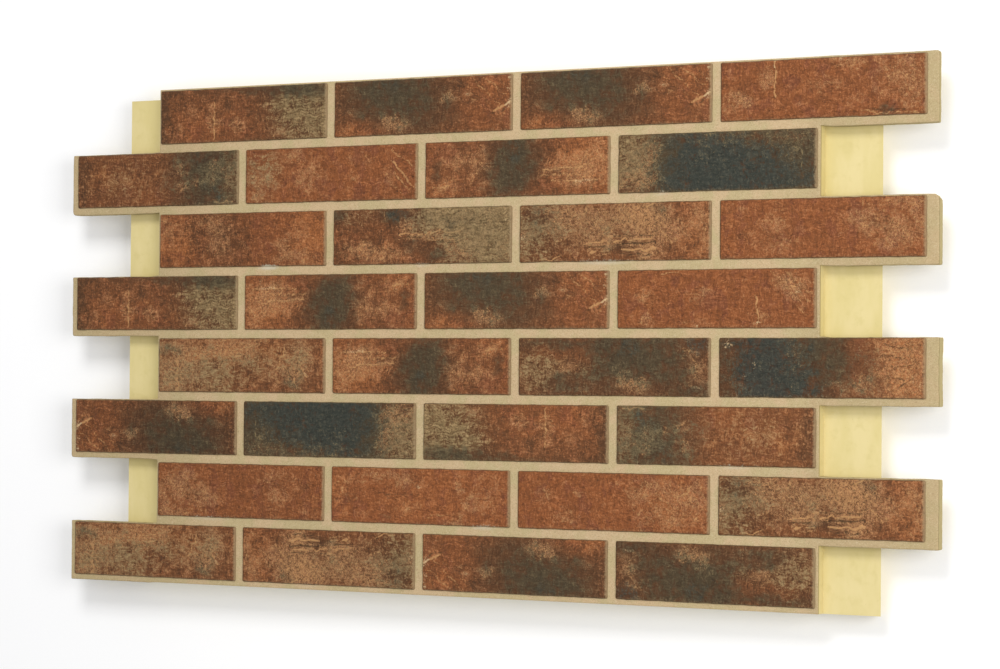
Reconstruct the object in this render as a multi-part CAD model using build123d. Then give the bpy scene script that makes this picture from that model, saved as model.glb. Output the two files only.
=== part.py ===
from build123d import *
import os

# Insulated facade panel lying on its back: rows of fired brick slips, bedded in a toothed foam
# facing with sanded joints, on a foam plate. X runs along the courses, Y up the wall and Z out of
# the wall. The origin is the middle of the length and height of the plate, on its back.

# Bond
slip_length = 245.0
slip_height = 65.0
slip_thickness = 8.0
joint = 10.0  # between neighbouring slips, both ways
courses = 8
slips_per_course = 4
bond_shift = 127.5  # every second course starts this much further left
slip_arris = 1.2  # soft edge round the face of a slip

# Keying grooves that run along the back of a slip
groove_count = 5
groove_edge = 5.25  # solid back left between the outer grooves and the edges of the slip
groove_share = 0.54  # part of the spacing that a groove's floor takes
groove_depth = 1.2
groove_flank_angle = 60.0  # the mouth is narrower than the floor, so that the foam is keyed in

# Depths, from the back of the panel to its face
plate_depth = 26.0
facing_depth = 12.0  # from the front of the plate to the surface of the joints
slip_relief = 2.0  # by which the slips stand proud of the joints
grout_depth = 2.5
grout_wrap = 2.0  # sanded skin round the free sides of a tooth

# Lips of the facing round the slips
lip_above = 1.5
lip_below_tooth = 7.5
lip_below_panel = 5.8
tooth_lip_right = 11.5
tooth_lip_left = 7.0
notch_lip_right = 3.0
notch_lip_left = 2.0
tooth_corner = 2.5

# Plate
ledge_left = 52.5  # plate that shows in the notches at the left
ledge_right = 68.0
plate_drop = 10.8  # the top of the plate lies this far below the top of the facing
end_bevel = 15.0  # by which each end of the plate runs back from front to back

# Worked out from the above
pitch_x = slip_length + joint
pitch_y = slip_height + joint
course_length = slips_per_course * pitch_x - joint
closed_length = notch_lip_left + course_length - bond_shift + notch_lip_right  # between notches
plate_length = ledge_left + closed_length + ledge_right
wall_left = ledge_left - plate_length / 2
wall_right = wall_left + closed_length
plain_left = wall_left + notch_lip_left  # left end of the slips in an unshifted course
facing_height = lip_above + courses * pitch_y - joint + lip_below_panel
plate_height = facing_height - plate_drop
facing_bottom = -plate_height / 2
facing_top = facing_bottom + facing_height
groove_pitch = (slip_height - 2 * groove_edge) / (groove_count - 1 + groove_share)
groove_floor = groove_share * groove_pitch
joint_level = plate_depth + facing_depth
slip_back = joint_level + slip_relief - slip_thickness


def is_shifted(course):
    return course % 2 == 0


def course_left(course):
    if is_shifted(course):
        return plain_left - bond_shift
    return plain_left


def course_bottom(course):
    # Courses are counted from the top
    return facing_top - lip_above - course * pitch_y + joint


def block(left, right, bottom, top):
    # Plan rectangle between two x and two y values
    return Pos((left + right) / 2, (bottom + top) / 2) * Rectangle(right - left, top - bottom)


def make_slip():
    # One slip, from its left end at x = 0 and its lower edge at y = 0, with its back at z = 0
    middle = Pos(slip_height / 2, 0)
    section = middle * Rectangle(slip_height, slip_thickness, align=(Align.CENTER, Align.MIN))
    for place in GridLocations(groove_pitch, 0, groove_count, 1):
        groove = Trapezoid(groove_floor, groove_depth, groove_flank_angle, rotation=180)
        section -= middle * place * Pos(0, groove_depth / 2) * groove
    body = extrude(Plane.YZ * section, slip_length)
    return fillet(body.edges().group_by(Axis.Z)[-1], slip_arris)


def place_slip(slip, course, column):
    left = course_left(course) + (column - 1) * pitch_x
    return Pos(left, course_bottom(course), slip_back) * slip


def tooth_plan(course, inset):
    # Plan of the tooth at the free end of a course, drawn in on its three free sides
    bottom = max(course_bottom(course) - lip_below_tooth, facing_bottom) + inset
    top = course_bottom(course) + slip_height + lip_above - inset
    if is_shifted(course):
        free_end = course_left(course) - tooth_lip_left + inset
        plan = block(free_end, wall_left, bottom, top)
        corners = plan.vertices().group_by(Axis.X)[0]
    else:
        free_end = course_left(course) + course_length + tooth_lip_right - inset
        plan = block(wall_right, free_end, bottom, top)
        corners = plan.vertices().group_by(Axis.X)[-1]
    return fillet(corners, tooth_corner - inset / 2)


def facing_plan(inset):
    # Plan of the whole toothed facing, with the teeth drawn in
    plan = block(wall_left, wall_right, facing_bottom, facing_top)
    for course in range(1, courses + 1):
        plan += tooth_plan(course, inset)
    return plan


def make_plate():
    # Plate whose two ends run back towards the wall
    front = plate_length / 2
    back = front - end_bevel
    outline = Polyline((-back, 0), (back, 0), (front, plate_depth), (-front, plate_depth), close=True)
    return extrude(Plane.XZ * make_face(outline), plate_height / 2, both=True)


slip = make_slip()
slips = {}
for course in range(1, courses + 1):
    for column in range(1, slips_per_course + 1):
        slips[f"slip_r{course}_c{column}"] = place_slip(slip, course, column)
pockets = list(slips.values())

foam_depth = facing_depth - grout_depth
foam_facing = Pos(0, 0, plate_depth) * extrude(facing_plan(grout_wrap), foam_depth)
foam_core = make_plate() + foam_facing - pockets

whole_facing = Pos(0, 0, plate_depth) * extrude(facing_plan(0), facing_depth)
joint_grout = whole_facing - foam_facing - pockets

nodes = {"foam_core": foam_core, "joint_grout": joint_grout, **slips}
os.makedirs("parts", exist_ok=True)
for name, solid in nodes.items():
    export_step(solid, f"parts/{name}.step")
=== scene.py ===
import math

import bmesh
import bpy
import numpy as np
from mathutils import Matrix, Vector, noise


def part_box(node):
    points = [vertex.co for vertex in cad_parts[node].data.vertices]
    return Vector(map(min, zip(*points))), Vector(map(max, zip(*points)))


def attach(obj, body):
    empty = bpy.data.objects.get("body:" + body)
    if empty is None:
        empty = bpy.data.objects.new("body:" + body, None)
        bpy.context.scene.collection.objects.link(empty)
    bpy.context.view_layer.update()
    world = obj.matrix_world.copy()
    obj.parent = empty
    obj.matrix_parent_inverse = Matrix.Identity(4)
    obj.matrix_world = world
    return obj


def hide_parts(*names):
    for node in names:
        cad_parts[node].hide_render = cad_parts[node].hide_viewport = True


# Looks of the insulated facade panel: glazed slips, sanded joints and the foam behind them.
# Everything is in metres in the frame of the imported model: X along the courses, Y up the wall.

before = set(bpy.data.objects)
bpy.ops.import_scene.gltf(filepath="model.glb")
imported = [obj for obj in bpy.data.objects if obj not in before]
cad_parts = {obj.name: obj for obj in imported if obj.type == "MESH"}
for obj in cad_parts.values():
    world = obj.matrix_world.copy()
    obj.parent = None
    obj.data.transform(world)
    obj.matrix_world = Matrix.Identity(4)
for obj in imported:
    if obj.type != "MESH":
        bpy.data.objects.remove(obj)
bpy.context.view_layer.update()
mm = 0.001
courses = 8
slipsPerCourse = 4
paintShare = 0.76  # the studio light turns the floor white, so the paints are this much darker


def asLinear(red, green, blue, share=paintShare):
    # a colour as it is read off a screen, 0 to 255, turned into the shader's linear numbers
    steps = [value / 255 for value in (red, green, blue)]
    return [share * (s / 12.92 if s <= 0.04045 else ((s + 0.055) / 1.055) ** 2.4) for s in steps] + [1.0]


def feed(tree, socket, value):
    if isinstance(value, bpy.types.NodeSocket):
        tree.links.new(value, socket)
    elif value is not None:
        socket.default_value = value


def addNode(tree, kind, inputs=None, **settings):
    made = tree.nodes.new(kind)
    for name, value in settings.items():
        setattr(made, name, value)
    for name, value in (inputs or {}).items():
        feed(tree, made.inputs[name], value)
    return made


def calc(tree, operation, first, second=None, third=None):
    made = addNode(tree, "ShaderNodeMath", operation=operation)
    for socket, value in zip(made.inputs, (first, second, third)):
        feed(tree, socket, value)
    return made.outputs[0]


def calcVector(tree, operation, first, second=None, scale=None):
    made = addNode(tree, "ShaderNodeVectorMath", operation=operation)
    for index, value in ((0, first), (1, second), (3, scale)):
        feed(tree, made.inputs[index], value)
    return made.outputs["Vector"]


def combine(tree, **axes):
    return addNode(tree, "ShaderNodeCombineXYZ", axes).outputs[0]


def product(tree, weight, *patterns):
    # a weight times any number of patterns
    for pattern in patterns:
        weight = calc(tree, "MULTIPLY", pattern, weight)
    return weight


def total(tree, start, *parts):
    # a start value and any number of (pattern, weight)
    for pattern, weight in parts:
        start = calc(tree, "MULTIPLY_ADD", pattern, weight, start)
    return start


def ramp(tree, value, low, high, toLow=0.0, toHigh=1.0):
    made = addNode(tree, "ShaderNodeMapRange", interpolation_type="SMOOTHSTEP")
    for socket, number in zip(made.inputs, (value, low, high, toLow, toHigh)):
        feed(tree, socket, number)
    return made.outputs["Result"]


def mixColours(tree, share, first, second):
    made = addNode(tree, "ShaderNodeMix", data_type="RGBA", clamp_factor=True)
    for index, value in ((0, share), (6, first), (7, second)):
        feed(tree, made.inputs[index], value)
    return made.outputs[2]


def lay(tree, colour, tint, weight, *patterns):
    # a colour with a tint over it, as strong as the weight times the patterns
    return mixColours(tree, product(tree, weight, *patterns), colour, tint)


def grain(tree, place, scale, detail=2.0, rough=0.5, stretch=None, output="Fac"):
    # soft noise; stretch squeezes the pattern along each axis first
    if stretch:
        place = calcVector(tree, "MULTIPLY", place, stretch)
    return addNode(tree, "ShaderNodeTexNoise", {
        "Vector": place, "Scale": scale, "Detail": detail, "Roughness": rough}).outputs[output]


def sideways(tree, place, scale, detail, rough):
    # noise that points every way, about zero
    colour = grain(tree, place, scale, detail, rough, output="Color")
    return calcVector(tree, "SUBTRACT", colour, (0.5, 0.5, 0.5))


def ridge(tree, value, middle, width):
    # a thin line wherever a noise passes its middle value
    away = calc(tree, "ABSOLUTE", calc(tree, "SUBTRACT", value, middle))
    return ramp(tree, away, 0.0, width, 1.0, 0.0)


def cells(tree, place, scale):
    return addNode(tree, "ShaderNodeTexVoronoi", {"Vector": place, "Scale": scale}).outputs


def readAttribute(tree, name, output="Fac"):
    return addNode(tree, "ShaderNodeAttribute", attribute_name=name).outputs[output]


def readPlace(tree):
    # where the object's own points are, in millimetres
    place = addNode(tree, "ShaderNodeTexCoord").outputs["Object"]
    return calcVector(tree, "SCALE", place, scale=1 / mm)


def newMaterial(name, look, share=paintShare):
    # an empty material, its tree and the colours of its look
    made = bpy.data.materials.new(name)
    made.use_nodes = True
    made.node_tree.nodes.clear()
    tints = {key: asLinear(*value, share) for key, value in look.items() if isinstance(value, tuple)}
    return made, made.node_tree, tints


def finishSurface(tree, colour, roughness, specular, height, bumpDepth, bumpStrength):
    bump = addNode(tree, "ShaderNodeBump", {
        "Height": height, "Distance": bumpDepth, "Strength": bumpStrength})
    shader = addNode(tree, "ShaderNodeBsdfPrincipled", {
        "Base Color": colour, "Roughness": roughness, "Specular IOR Level": specular,
        "Normal": bump.outputs["Normal"]})
    addNode(tree, "ShaderNodeOutputMaterial", {"Surface": shader.outputs[0]})


# Colours are given as they look on a screen
glazeLook = {
    "umber": (98, 64, 38), "rust": (152, 89, 49), "mauve": (134, 77, 51), "ember": (176, 108, 60),
    "soot": (78, 68, 48), "navy": (56, 62, 56), "ash": (156, 134, 94), "deepAsh": (124, 103, 67),
    "bloom": (232, 172, 122), "sootBloom": (170, 148, 108), "gold": (218, 162, 106),
    "sootGold": (162, 139, 98), "flake": (240, 206, 156), "lime": (206, 197, 172),
    # the dust colour also paints highlight on the right edges, and the darkest brown also paints shade on
    # the left edges
    "dustAndHighlight": (172, 146, 108), "darkLineAndShade": (74, 54, 32), "rim": (112, 94, 64),
    "specular": 0.16, "bumpDepth": 0.6 * mm,
}

# Its patterns, by the places they are read at: scale, detail and roughness, and how far some of them
# are squeezed along X, Y and Z
glazePatterns = {
    "plain": {"fine": (0.45, 4, 0.68), "brush": (0.02, 2, 0.5)},
    "bent": {
        "mottle": (0.07, 6, 0.62), "wrinkle": (0.16, 3, 0.6, (0.8, 1.5, 1.0)), "rings": (0.03, 2, 0.45),
        "across": (1.0, 4, 0.66, (0.06, 0.5, 1.0)), "upright": (1.0, 4, 0.66, (0.5, 0.07, 1.0)),
        "violet": (0.05, 4, 0.6, (1.3, 0.9, 1.0))},
    "flaky": {
        "grit": (0.4, 4, 0.7), "curls": (0.19, 3, 0.55), "network": (0.31, 2, 0.5),
        "islands": (0.26, 5, 0.72, (0.95, 1.1, 1.0)), "veins": (0.45, 3, 0.6), "cracks": (0.16, 2, 0.5)},
}
glazeBends = {"bent": (0.07, 3, 12.0), "flaky": (0.4, 2, 4.0)}  # scale, detail, reach in millimetres


def makeFields(tree):
    # all the patterns of the glaze by name; the ones that are added up are about zero
    places = {"plain": readAttribute(tree, "printPos", "Vector")}
    for name, (scale, detail, reach) in glazeBends.items():
        sway = sideways(tree, places["plain"], scale, detail, 0.55)
        places[name] = calcVector(
            tree, "ADD", places["plain"], calcVector(tree, "SCALE", sway, scale=reach))
    fields = {name: grain(tree, places[base], *pattern)
              for base, patterns in glazePatterns.items() for name, pattern in patterns.items()}
    fields["rings"] = calc(tree, "PINGPONG", calc(tree, "MULTIPLY", fields["rings"], 20.0), 1.0)
    for name in ("mottle", "fine", "across", "upright", "wrinkle", "rings"):
        fields[name] = calc(tree, "SUBTRACT", fields[name], 0.5)
    fields["brush"] = product(tree, 1.0, fields["rings"], ramp(tree, fields["brush"], 0.42, 0.6))
    fields.update(sooty=readAttribute(tree, "soot"), bluish=readAttribute(tree, "navy"))
    return fields


def blend(tree, fields, start, **weights):
    # a start value with some of the fields added to it, each by its own weight
    return total(tree, start, *((fields[name], weight) for name, weight in weights.items()))


def painted(tree, fields, name, **weights):
    # one of the slip's own paints, broken up by some of the fields
    return blend(tree, fields, readAttribute(tree, name), **weights)


def larger(tree, first, second):
    return calc(tree, "MAXIMUM", first, second)


def layClay(tree, tints, fields):
    # the plain clay, from umber to rust, with violet and ember parts
    tone = painted(tree, fields, "tone", mottle=1.3, fine=0.15, across=0.6, upright=0.7,
                   sooty=-0.5, bluish=-0.6)
    glow = painted(tree, fields, "glow", mottle=1.1, fine=0.4, upright=0.9, across=0.7,
                   sooty=-0.6, bluish=-0.6)
    colour = mixColours(tree, ramp(tree, tone, -0.1, 1.0), tints["umber"], tints["rust"])
    violet = ramp(tree, fields["violet"], 0.5, 0.64)
    colour = lay(tree, colour, tints["mauve"], 0.6, violet, ramp(tree, tone, 0.25, 0.7))
    return lay(tree, colour, tints["ember"], 1.0, ramp(tree, glow, 0.05, 0.95))


def layClouds(tree, tints, fields, colour):
    # ash, soot and dark blue clouds
    def cloud(name, low, high, **weights):
        # the patterns only break up a cloud where there is one
        spots = readAttribute(tree, name)
        broken = product(tree, 1.0, blend(tree, fields, 0.0, **weights), ramp(tree, spots, 0.0, 0.4))
        return ramp(tree, total(tree, spots, (broken, 1.0)), low, high)

    ash = cloud("ash", 0.1, 0.95, across=2.2, fine=1.2, mottle=2.2, upright=1.4)
    soot = cloud("soot", 0.08, 1.0, mottle=2.8, fine=0.9, across=1.4, upright=2.0)
    navy = cloud("navy", 0.12, 0.95, mottle=2.6, fine=1.1, upright=2.0, across=0.8)
    streaks = ramp(tree, blend(tree, fields, 0.5, across=2.2, wrinkle=1.6, fine=1.0), 0.1, 0.9)
    ashTint = mixColours(tree, streaks, tints["deepAsh"], tints["ash"])
    for tint, weight, where in (
            (ashTint, 0.85, ash), (tints["soot"], 0.85, soot), (tints["navy"], 0.88, navy)):
        colour = lay(tree, colour, tint, weight, where)
    fields["dark"] = larger(tree, larger(tree, soot, navy), product(tree, 0.7, ash))
    fields["ashAcross"] = product(tree, 0.6, ash, fields["across"])
    fields["ashWrinkle"] = product(tree, 0.5, ash, fields["wrinkle"])
    return colour


def layBloom(tree, tints, fields, colour):
    # linen-like light and dark, then a pale bloom: specks, curls and a thin network, which gather in
    # the golden parts
    gold = painted(tree, fields, "gold", mottle=1.2, across=0.9, upright=0.6)
    curls = product(tree, 0.85, ridge(tree, fields["curls"], 0.5, 0.03))
    network = product(tree, 0.7, ridge(tree, fields["network"], 0.5, 0.04))
    specks = larger(tree, larger(tree, ramp(tree, fields["grit"], 0.52, 0.66), curls), network)
    crowd = ramp(tree, blend(tree, fields, gold, mottle=1.6), 0.1, 0.9)
    shade = painted(tree, fields, "fired", fine=0.42, across=1.2, upright=1.3, wrinkle=0.55, brush=0.18,
                    ashAcross=1.0, ashWrinkle=1.0)
    colour = calcVector(tree, "SCALE", colour, scale=larger(tree, shade, 0.4))
    weave = ramp(tree, blend(tree, fields, 0.0, across=0.9, upright=1.2), 0.02, 0.28)
    bloom = total(tree, product(tree, 0.66, specks, crowd), (weave, 0.16),
                  (ramp(tree, gold, 0.05, 0.9), 0.04))
    tint = mixColours(tree, fields["dark"], tints["bloom"], tints["sootBloom"])
    fields.update(gold=gold, curls=curls)
    return lay(tree, colour, tint, 1.0, bloom, ramp(tree, fields["dark"], 0.3, 1.2, 1.0, 0.6))


def layCrackle(tree, tints, fields, colour):
    # pale crackle: flakes with torn edges, each beside a dark thread, curls and dark cracks
    gold, grit = fields["gold"], fields["grit"]
    shore = calc(tree, "MULTIPLY_ADD", gold, -0.09, 0.605)
    over = calc(tree, "SUBTRACT", fields["islands"], shore)
    veins = ridge(tree, fields["veins"], 0.5, 0.11)
    curls = product(tree, 1.0, fields["curls"], ramp(tree, gold, 0.15, 0.8))
    pale = product(tree, 1.0, larger(tree, ramp(tree, over, -0.015, 0.035), curls),
                   ramp(tree, gold, 0.05, 0.5), ramp(tree, grit, 0.36, 0.5, 0.25, 1.0),
                   ramp(tree, veins, 0.0, 0.8, 0.3, 1.0))
    bright = ramp(tree, painted(tree, fields, "flake", fine=1.8, across=1.0), 0.35, 0.95)
    tint = mixColours(tree, fields["dark"], tints["gold"], tints["sootGold"])
    tint = mixColours(tree, bright, tint, tints["flake"])
    thread = ridge(tree, over, -0.035, 0.022)
    cracks = ridge(tree, fields["cracks"], 0.5, 0.022)
    colour = lay(tree, colour, tint, 0.8, pale)
    colour = lay(tree, colour, tints["flake"], 0.8, bright, ramp(tree, grit, 0.48, 0.6))
    colour = lay(tree, colour, tints["darkLineAndShade"], 0.6, thread, ramp(tree, gold, 0.15, 0.7))
    fields["pale"] = pale
    tints["crackle"] = tint
    return lay(tree, colour, tints["darkLineAndShade"], 0.8, cracks, ramp(tree, gold, 0.45, 0.95))


def layEdges(tree, tints, fields, colour):
    # strokes of the print, pale and dark ones; then the painted shade of the left edge, the joint's dust on
    # the edges and the sides, with painted highlight on the right edge, and lime where the joint was smeared
    for name, tint, weight, low, high, weights in (
            ("mark", "crackle", 0.8, 0.34, 0.68, {"fine": 1.2, "mottle": 0.6}),
            ("dent", "darkLineAndShade", 0.7, 0.34, 0.7, {"fine": 1.2, "mottle": 0.6}),
            # painted shade: a dark band along the left edge of each slip
            ("darkLineAndShade", "darkLineAndShade", 0.75, 0.2, 0.9, {"fine": 0.6}),
            ("rim", "rim", 0.8, 0.25, 0.9, {"fine": 0.8, "across": 0.8}),
            # joint dust, and painted highlight along the right edge
            ("dustAndHighlight", "dustAndHighlight", 0.75, 0.2, 1.0, {"fine": 1.2, "upright": 1.0}),
            ("lime", "lime", 1.0, 0.35, 0.9, {"fine": 2.0})):
        fields[name] = ramp(tree, painted(tree, fields, name, **weights), low, high)
        colour = lay(tree, colour, tints[tint], weight, fields[name])
    return colour


def makeGlaze():
    # fired glaze: the soft spots painted on each slip are broken up here by finer patterns
    material, tree, tints = newMaterial("firedGlaze", glazeLook)
    fields = makeFields(tree)
    colour = layClay(tree, tints, fields)
    for layer in (layClouds, layBloom, layCrackle, layEdges):
        colour = layer(tree, tints, fields, colour)
    shine = blend(tree, fields, 0.5, fine=0.8, mottle=0.3)
    height = blend(tree, fields, 0.0, fine=1.0, mottle=1.6, wrinkle=3.0, pale=0.35, mark=0.5,
                   dent=-0.6, across=1.6, upright=1.2, brush=0.5)
    finishSurface(tree, colour, shine, glazeLook["specular"], height, glazeLook["bumpDepth"], 1.0)
    return material


sandLook = {
    "buff": (210, 189, 142), "rosy": (222, 192, 150), "dull": (194, 172, 128),
    "paleGrain": (240, 224, 188), "darkGrain": (152, 122, 84), "lime": (226, 216, 192),
    "olive": (188, 172, 118), "edge": (142, 126, 82),
    "grainScale": 1.25, "patchScale": 0.03, "fineScale": 0.5, "bumpDepth": 0.5 * mm,
}


def makeSand():
    # fine quartz sand set in a mineral binder
    material, tree, tints = newMaterial("sandedJoint", sandLook)
    place = readPlace(tree)
    grains = cells(tree, place, sandLook["grainScale"])
    tint = addNode(tree, "ShaderNodeSeparateColor", {"Color": grains["Color"]}).outputs[0]
    patch = grain(tree, place, sandLook["patchScale"], 5, 0.6)
    fine = grain(tree, place, sandLook["fineScale"], 4, 0.7)
    colour = mixColours(tree, ramp(tree, patch, 0.4, 0.6), tints["buff"], tints["rosy"])
    # the sides are a little greener than the face, and the edges between them darker
    # painted shade: the joint is duller towards its left and right ends
    dull = ramp(tree, calc(tree, "ADD", fine, readAttribute(tree, "wearAndShade")), 0.4, 0.85)
    edge = ramp(tree, total(tree, readAttribute(tree, "edge"), (fine, 0.8)), 0.7, 1.4)
    lime = total(tree, readAttribute(tree, "lime"), (calc(tree, "SUBTRACT", fine, 0.5), 1.0))
    for name, weight, where in (
            ("dull", 0.6, dull), ("paleGrain", 0.3, ramp(tree, tint, 0.8, 0.95)),
            ("darkGrain", 0.35, ramp(tree, tint, 0.2, 0.05)),
            ("olive", 0.75, readAttribute(tree, "sides")), ("edge", 0.8, edge),
            ("lime", 0.8, ramp(tree, lime, 0.2, 0.9))):
        colour = lay(tree, colour, tints[name], weight, where)
    height = calc(tree, "SUBTRACT", calc(tree, "MULTIPLY", fine, 1.4), grains["Distance"])
    finishSurface(tree, colour, 0.93, 0.25, height, sandLook["bumpDepth"], 0.8)
    return material


foamLook = {
    "cream": (234, 216, 150), "pale": (241, 223, 162), "straw": (224, 206, 138), "speck": (206, 182, 112),
    "poreScale": 1.6, "cloudScale": 0.07, "speckScale": 0.35, "bumpDepth": 0.4 * mm,
}


def makeFoam():
    # pale rigid foam: a thin moulded skin, broad faint streaks from the pour and fine pores
    material, tree, tints = newMaterial("rigidFoam", foamLook)
    place = readPlace(tree)
    broad = grain(tree, place, 1.0, 4, 0.55, (0.035, 0.012, 0.03))
    cloudy = grain(tree, place, foamLook["cloudScale"], 5, 0.6)
    pores = ramp(tree, cells(tree, place, foamLook["poreScale"])["Distance"], 0.12, 0.3)
    speck = ramp(tree, grain(tree, place, foamLook["speckScale"], 2, 0.5), 0.7, 0.8)
    colour = mixColours(tree, ramp(tree, broad, 0.35, 0.65), tints["cream"], tints["pale"])
    colour = lay(tree, colour, tints["straw"], 0.5, ramp(tree, cloudy, 0.5, 0.75))
    colour = lay(tree, colour, tints["speck"], 0.35, speck)
    finishSurface(tree, colour, 0.72, 0.3, total(tree, cloudy, (pores, 0.25)),
                  foamLook["bumpDepth"], 0.5)
    return material


glaze = makeGlaze()
sand = makeSand()
foam = makeFoam()
print("materials made")


slipShape = {
    "arris": 1.8 * mm, "arrisSteps": 3, "pillow": 0.5 * mm, "pillowReach": 7.0 * mm,
    "corner": 2.0 * mm, "spacing": 1.6 * mm,
    "grooves": 5, "grooveEdge": 5.25 * mm, "grooveShare": 0.54, "grooveDepth": 1.2 * mm,
    "grooveFlank": math.radians(60),
    "relief": 0.8 * mm, "reliefSize": 16.0, "wander": 0.8 * mm, "wanderSize": 14.0,
    "fade": 5.0 * mm, "rimReach": 2.0 * mm, "faceDepth": 2.5 * mm, "sharpAngle": math.radians(40),
    # how far the pale right band of dust and painted highlight and the band of painted shade on the left
    # reach
    "highlightAndDustReach": 4.5 * mm, "dustBelow": 0.4, "leftShadeReach": 2.025 * mm, "limeReach": 3.0 * mm,
}


def writeAttribute(mesh, name, values, domain="POINT"):
    mesh.attributes.new(name, "FLOAT", domain).data.foreach_set("value", values)


def readVectors(data, name):
    values = np.zeros(len(data) * 3)
    data.foreach_get(name, values)
    return values.reshape(-1, 3)


def turnFacesOut(mesh):
    work = bmesh.new()
    work.from_mesh(mesh)
    bmesh.ops.recalc_face_normals(work, faces=work.faces)
    work.to_mesh(mesh)
    work.free()


def softLine(length, shape):
    # places along one side of the face, closer together over the two soft arrises
    turn = np.radians(np.arange(shape["arrisSteps"] + 1) * 90 / shape["arrisSteps"])
    inward = shape["arris"] * (1 - np.cos(turn))
    drop = shape["arris"] * (1 - np.sin(turn))
    flat = length / 2 - shape["arris"]
    middle = np.linspace(-flat, flat, round(2 * flat / shape["spacing"]) + 1)[1:-1]
    places = np.concatenate([inward - length / 2, middle, length / 2 - inward[::-1]])
    drops = np.concatenate([drop, np.zeros(len(middle)), drop[::-1]])
    return places, drops


def grooveLine(height, shape):
    # the grooved back, from its upper edge down to its lower edge
    pitch = (height - 2 * shape["grooveEdge"]) / (shape["grooves"] - 1 + shape["grooveShare"])
    floor = shape["grooveShare"] * pitch / 2
    mouth = floor - shape["grooveDepth"] / math.tan(shape["grooveFlank"])
    line = [(height / 2, 0.0)]
    for index in reversed(range(shape["grooves"])):
        centre = (index - (shape["grooves"] - 1) / 2) * pitch
        line += [(centre + mouth, 0.0), (centre + floor, shape["grooveDepth"]),
                 (centre - floor, shape["grooveDepth"]), (centre - mouth, 0.0)]
    return line + [(-height / 2, 0.0)]


def roundCorner(x, y, halfX, halfY, radius):
    # draws a point of the face in, where the plan of the slip has a rounded corner
    a, b = abs(x) - halfX + radius, abs(y) - halfY + radius
    if min(a, b) <= 0:
        return x, y
    share = max(a, b) / math.hypot(a, b)
    return (math.copysign(halfX - radius + a * share, x), math.copysign(halfY - radius + b * share, y))


def makeSlipBlank(size, shape):
    # one plain slip about its own middle, with its back at z = 0, swept along its length
    length, height, thickness = size
    alongX, dropX = softLine(length, shape)
    acrossY, dropY = softLine(height, shape)
    back = grooveLine(height, shape)
    corners, shares = [], []  # the shares are the ones of the face, of its edge and of its rim
    for lineX, fallX in zip(alongX, dropX):
        for y, fallY in zip(acrossY, dropY):
            inFromEdge = min(length / 2 - abs(lineX), height / 2 - abs(y))
            sag = shape["pillow"] * max(0.0, 1 - inFromEdge / shape["pillowReach"]) ** 2
            corners.append((*roundCorner(lineX, y, length / 2, height / 2, shape["corner"]),
                            thickness - math.hypot(fallX, fallY) - sag))
            inward = inFromEdge / shape["fade"]
            shares.append((min(1.0, inward), max(0.0, 1 - inward),
                           max(0.0, 1 - inFromEdge / shape["rimReach"])))
        corners += [(lineX, y, z) for y, z in back]
        shares += [(0.0, 0.0, 1.0)] * len(back)
    around = len(acrossY) + len(back)
    ends = (len(alongX) - 1) * around
    faces = [tuple(reversed(range(around))), tuple(range(ends, ends + around))]
    for start in range(0, ends, around):
        for step in range(around):
            following = (step + 1) % around
            faces.append((start + step, start + following,
                          start + around + following, start + around + step))
    mesh = bpy.data.meshes.new("slipBlank")
    mesh.from_pydata(corners, [], faces)
    for name, values in zip(("faceShare", "edgeShare", "rim"), zip(*shares)):
        writeAttribute(mesh, name, values)
    turnFacesOut(mesh)
    return mesh


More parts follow.
